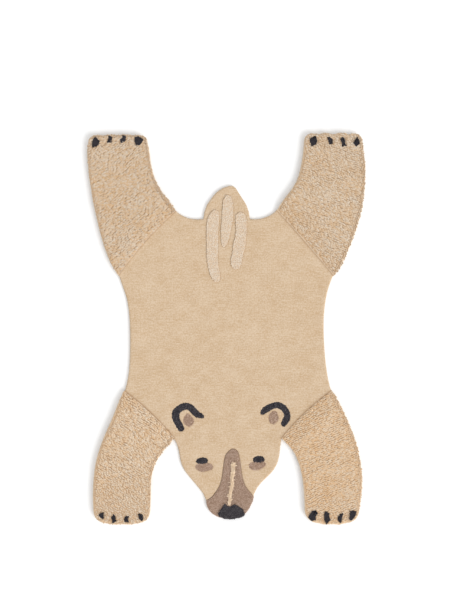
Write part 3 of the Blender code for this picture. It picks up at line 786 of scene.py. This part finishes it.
TUFTING = tufting()
PLAIN_TUFTS = {
    # rows: their spacing and the tufts' in them, their direction, how loose and how wavy they are
    "Row pitch": 0.0074, "Tuft pitch": 0.0064, "Row turn": 0.0, "Shake": 0.3, "Bend": 0.0100,
    # lean: its direction, how that swirls over the rug and strays from tuft to tuft
    "Nap": 0.0, "Swirl": 0.3, "Swirl size": 0.05, "Stray": 0.14, "Wobble": 0.10,
    # tufts: their size, how much it varies one by one and in lumps, and the room kept at rims
    "Height": 0.0032, "Reach": 0.0160, "Width": 0.0086, "Spread": 0.35,
    "Lump": 0.3, "Lump size": 0.02, "Ahead": 1.5, "Join turn": 0.0, "Clear": 0.0035,
    # tone, from 0 to 1: its middle, and how much it varies one by one and in patches
    "Tone": 0.5, "Speckle": 0.5, "Patch": 0.35, "Patch size": 0.12,
    # between these distances from the rug's middle, the tufts grow shorter, looser and paler
    "Calm from": 5.0, "Calm to": 6.0, "Seed": 1,
}
rear_wool = tuft_wool("shag_wool_rear", (REAR_DARK, REAR_MID, REAR_LIGHT), REAR_ROOT_SHADE)
front_wool = tuft_wool("shag_wool_front", (FRONT_DARK, FRONT_MID, FRONT_LIGHT), FRONT_ROOT_SHADE)
lock = tuft("lock", LOCK_RINGS, LOCK_TIP, LOCK_THICK, LOCK_STRANDS, LOCK_SIDES)
shag = {
    "rear_left": (rear_wool, 43, -45, {
        "Height": 0.0046, "Swirl": 0.2, "Tone": 0.5, "Speckle": 0.9,
        "Calm from": 0.60, "Calm to": 1.10, "Seed": 1,
    }),
    "rear_right": (rear_wool, -20, -135, {
        "Height": 0.0031, "Reach": 0.0180, "Swirl": 0.5, "Tone": 0.5, "Speckle": 0.8,
        "Calm from": 0.55, "Calm to": 1.00, "Seed": 2,
    }),
    "front_left": (front_wool, -30, 45, {
        "Height": 0.0036, "Reach": 0.0180, "Swirl": 0.5, "Tone": 0.5, "Speckle": 0.8,
        "Calm from": 0.45, "Calm to": 0.75, "Seed": 3,
    }),
    "front_right": (front_wool, 25, 135, {
        "Height": 0.0024, "Tone": 0.36, "Speckle": 0.8,
        "Calm from": 0.60, "Calm to": 0.80, "Seed": 4,
    }),
}
for leg, (wool, nap, join, sizes) in shag.items():
    tufted("shag_" + leg, "leg_" + leg, SHAG_BED, lock, wool, "shag_wool", eased, **{
        **sizes, "Row turn": math.radians(nap), "Nap": math.radians(nap),
        "Join turn": math.radians(join)})


# ---- Tail stripes --------------------------------------------------------------------------
# Three tapered bands of pale cream wool, tufted higher than the pile round them. Cut pile spreads
# a little past its own edge, so their rims stand square and close to it.

CREAM_DARK = (0.675, 0.505, 0.345, 1.0)
CREAM_MID = (0.695, 0.580, 0.460, 1.0)
CREAM_LIGHT = (0.730, 0.660, 0.565, 1.0)
# painted shade: the darker colour of the cream tufts' roots, between the tufts
CREAM_ROOT_SHADE = (0.560, 0.390, 0.240, 1.0)
NUB_RINGS = (            # as for a lock, of a short straight tuft
    (0.00, 0.00, -0.40, 0.50, 0.0),
    (0.50, 0.03, 0.55, 0.48, 10.0),
    (0.85, 0.08, 0.90, 0.30, 20.0),
)
NUB_TIP = (1.00, 0.12, 1.00)
NUB_SIDES = 5
NUB_THICK = 0.9
NUB_STRANDS = ((0.0, 0.0, 1.0, 1.0),)
STRIPE_BED = 0.77
BLOOM = 0.0016           # how far the rim spreads
RAGGED_SIZE = 0.008      # about how wide the tongues of a ragged rim are
SHORT = {
    "Row pitch": 0.0038, "Tuft pitch": 0.0036, "Height": 0.0014, "Reach": 0.0062, "Width": 0.0062,
    "Spread": 0.25, "Lump": 0.10, "Wobble": 0.15, "Shake": 0.6, "Swirl": 0.2, "Stray": 0.35,
    "Nap": math.radians(90), "Bend": 0.0, "Ahead": 0.0, "Clear": 0.0, "Patch size": 0.008,
}


def squared(bed, ragged=0.0):
    """Lifts the rounded rim of a bed level with its top, and spreads it, further in places."""
    top = max(v.co.z for v in bed.data.vertices)
    flat = np.array([v.co[:2] for v in bed.data.vertices])
    further = ragged * np.maximum(smooth_noise(flat, RAGGED_SIZE, 3), -0.3)
    normals = [v.normal.copy() for v in bed.data.vertices]
    for vertex, normal, more in zip(bed.data.vertices, normals, further.tolist()):
        sideways = Vector((normal.x, normal.y, 0.0))
        if sideways.length > 0.2:
            vertex.co += (BLOOM + more) * sideways.normalized()
        if vertex.co.z > 0.5 * top:
            vertex.co.z = top


nub = tuft("nub", NUB_RINGS, NUB_TIP, NUB_THICK, NUB_STRANDS, NUB_SIDES)
cream_wool = tuft_wool("cream_wool_pile", (CREAM_DARK, CREAM_MID, CREAM_LIGHT), CREAM_ROOT_SHADE)
for seed, name in enumerate(("stripe_left", "stripe_middle", "stripe_right"), 10):
    tufted(
        "tail_" + name, name, STRIPE_BED, nub, cream_wool, "cream_wool", squared, **{
            **SHORT, "Row pitch": 0.0050, "Tuft pitch": 0.0034, "Height": 0.0012,
            "Reach": 0.0070, "Width": 0.0060, "Shake": 0.4, "Tone": 0.6, "Speckle": 0.7,
            "Patch": 0.8, "Seed": seed})


# ---- Ears and eyes -------------------------------------------------------------------------
# Dark bands round two brown patches, and dark eyes over brown ones. All are wool pile, tufted in
# and sheared level with the beige pile round them.

DARK_DEEP = (0.024, 0.022, 0.027, 1.0)
DARK_MID = (0.060, 0.054, 0.061, 1.0)
DARK_GREY = (0.125, 0.114, 0.120, 1.0)
BROWN_DARK = (0.290, 0.184, 0.126, 1.0)
BROWN_MID = (0.440, 0.308, 0.232, 1.0)
BROWN_LIGHT = (0.610, 0.465, 0.378, 1.0)
# painted shade: the darker colour of the brown tufts' roots, between the tufts
BROWN_ROOT_SHADE = (0.340, 0.222, 0.155, 1.0)
FACE_BED = 0.88
CLOSE = {
    **SHORT, "Row pitch": 0.0034, "Tuft pitch": 0.0034, "Height": 0.0018, "Reach": 0.0050,
    "Width": 0.0050, "Patch": 1.0, "Tone": 0.47,
}

# DARK_DEEP is also the painted shade of the dark tufts' roots
dark_wool = tuft_wool("dark_wool_pile", (DARK_DEEP, DARK_MID, DARK_GREY), DARK_DEEP)
brown_wool = tuft_wool("brown_wool_pile", (BROWN_DARK, BROWN_MID, BROWN_LIGHT), BROWN_ROOT_SHADE)
face = []
for seed, name in enumerate(("ear_left", "ear_right", "eye_left", "eye_right"), 20):
    face.append(tufted(name + "_pile", name, FACE_BED, nub, dark_wool, "dark_wool", squared, **{
        **CLOSE, "Speckle": 1.0, "Seed": seed}))
for seed, name in enumerate(
    ("ear_inside_left", "ear_inside_right", "eye_patch_left", "eye_patch_right"), 30
):
    face.append(tufted(name + "_pile", name, FACE_BED, nub, brown_wool, "brown_wool", squared, **{
        **CLOSE, "Speckle": 0.8, "Seed": seed}))


# ---- Muzzle, blaze and nose ----------------------------------------------------------------
# A brown muzzle a little above the beige pile, split by a cream blaze that runs down to a dark
# nose. The blaze's longer strands lie over the brown on both sides, and the nose's rim is ragged.

BLAZE_DARK = (0.800, 0.620, 0.430, 1.0)
BLAZE_MID = (0.860, 0.700, 0.530, 1.0)
BLAZE_LIGHT = (0.900, 0.780, 0.640, 1.0)
# painted shade: the darker colour of the blaze tufts' roots, between the tufts
BLAZE_ROOT_SHADE = (0.620, 0.450, 0.290, 1.0)
BLAZE_BED = 0.90
NOSE_RAGGED = 0.0040     # how far the tongues of the nose's rim reach


def nose_rim(bed):
    squared(bed, NOSE_RAGGED)


muzzle = tufted("muzzle_pile", "muzzle", FACE_BED, nub, brown_wool, "brown_wool", **{
    **CLOSE, "Row turn": math.radians(42), "Nap": math.radians(132), "Height": 0.0024,
    "Row pitch": 0.0050, "Stray": 1.1, "Tone": 0.73, "Speckle": 1.2, "Patch": 1.5, "Seed": 40})
blaze_wool = tuft_wool("blaze_wool_pile", (BLAZE_DARK, BLAZE_MID, BLAZE_LIGHT), BLAZE_ROOT_SHADE)
blaze = tufted("blaze_pile", "blaze", BLAZE_BED, lock, blaze_wool, "cream_wool", **{
    **CLOSE, "Row pitch": 0.0046, "Tuft pitch": 0.0040, "Nap": math.radians(10), "Stray": 3.1,
    "Height": 0.0030, "Reach": 0.0084, "Width": 0.0040, "Spread": 1.2, "Tone": 0.5,
    "Speckle": 0.8, "Patch": 0.35, "Patch size": 0.12, "Seed": 41})
nose = tufted("nose_pile", "nose", FACE_BED, nub, dark_wool, "dark_wool", nose_rim, **{
    **CLOSE, "Height": 0.0030, "Shake": 0.9, "Tone": 0.85, "Speckle": 1.0, "Patch": 0.8,
    "Seed": 42})
face += [muzzle, blaze, nose]


# ---- Claws ---------------------------------------------------------------------------------
# Four ragged blots of dark wool at the end of each paw, tufted as high as the shag round them.

BLOT = 0.0060            # how far a claw's outline wanders
BLOT_SIZE = 0.013
CLAWS_A_PAW = 4
FIRST_CLAW_SEED = 51


def blotted(bed):
    """Gives a claw its ragged outline."""
    squared(bed)
    flat = np.array([v.co[:2] for v in bed.data.vertices])
    across, along = (smooth_noise(flat, BLOT_SIZE, seed) for seed in (4, 3))
    for vertex, x, y in zip(bed.data.vertices, across, along):
        vertex.co.x += BLOT * x
        vertex.co.y += BLOT * y


claws = []
for leg in LEGS:
    for number in range(1, CLAWS_A_PAW + 1):
        name = f"claw_{leg}_{number}"
        claws.append(tufted(name + "_pile", name, 1.0, nub, dark_wool, "dark_wool", blotted, **{
            **CLOSE, "Row pitch": 0.0028, "Tuft pitch": 0.0028, "Width": 0.0030,
            "Reach": 0.0030, "Height": 0.0020, "Shake": 1.0, "Wobble": 0.5, "Tone": 0.5,
            "Speckle": 0.7, "Patch": 0.35, "Patch size": 0.12,
            "Seed": FIRST_CLAW_SEED + len(claws)}))

for thing in (lock, nub):
    bpy.data.objects.remove(thing, do_unlink=True)


# ---- The rug as a laid cloth ---------------------------------------------------------------
# It lies flat on the floor, as it was tufted: nothing is folded, stretched or hung.

twice_area(rug_edge) / 2


# ---- Floor, light and camera ---------------------------------------------------------------
# A plain white studio floor under a broad lamp from the lower right, so the rug's left and upper
# edges have a soft shadow. The camera looks straight down.

FLOOR_HALF = 7.0
FLOOR_DROP = 0.0002      # keeps the floor clear of the canvas
FLOOR_WHITE = (0.96, 0.96, 0.96, 1.0)
VIEW_MIDDLE = (0.0153, 0.0900)
VIEW_HEIGHT = 2.508
LENS = 85.0
SENSOR = 36.0
SKY = 0.85
SUN = 2.10
SUN_SOFT = 40.0
SUN_HEIGHT = 31.0
SUN_TURN = -40.0

floor_mesh = bpy.data.meshes.new("floor")
corners = [(x * FLOOR_HALF, y * FLOOR_HALF, -FLOOR_DROP)
           for x, y in ((-1, -1), (1, -1), (1, 1), (-1, 1))]
floor_mesh.from_pydata(corners, [], [(0, 1, 2, 3)])
floor = bpy.data.objects.new("floor", floor_mesh)
bpy.context.collection.objects.link(floor)
floor_paint, _, floor_shader = new_material("floor_paint", 0.9)
floor_shader.inputs["Base Color"].default_value = FLOOR_WHITE
floor_mesh.materials.append(floor_paint)

world = bpy.data.worlds.new("studio")
world.use_nodes = True
world.node_tree.nodes["Background"].inputs["Color"].default_value = (1.0, 1.0, 1.0, 1.0)
world.node_tree.nodes["Background"].inputs["Strength"].default_value = SKY
bpy.context.scene.world = world

sun_data = bpy.data.lights.new("lamp", "SUN")
sun_data.energy = SUN
sun_data.angle = math.radians(SUN_SOFT)
sun = bpy.data.objects.new("lamp", sun_data)
bpy.context.collection.objects.link(sun)
towards = Vector((
    math.cos(math.radians(SUN_TURN)) * math.cos(math.radians(SUN_HEIGHT)),
    math.sin(math.radians(SUN_TURN)) * math.cos(math.radians(SUN_HEIGHT)),
    math.sin(math.radians(SUN_HEIGHT)),
))
sun.rotation_euler = towards.to_track_quat("Z", "Y").to_euler()

camera_data = bpy.data.cameras.new("camera")
camera_data.lens = LENS
camera_data.sensor_width = SENSOR
camera = bpy.data.objects.new("camera", camera_data)
camera.location = (*VIEW_MIDDLE, VIEW_HEIGHT * LENS / SENSOR)
bpy.context.collection.objects.link(camera)
bpy.context.scene.camera = camera
bpy.context.scene.view_settings.view_transform = "Standard"
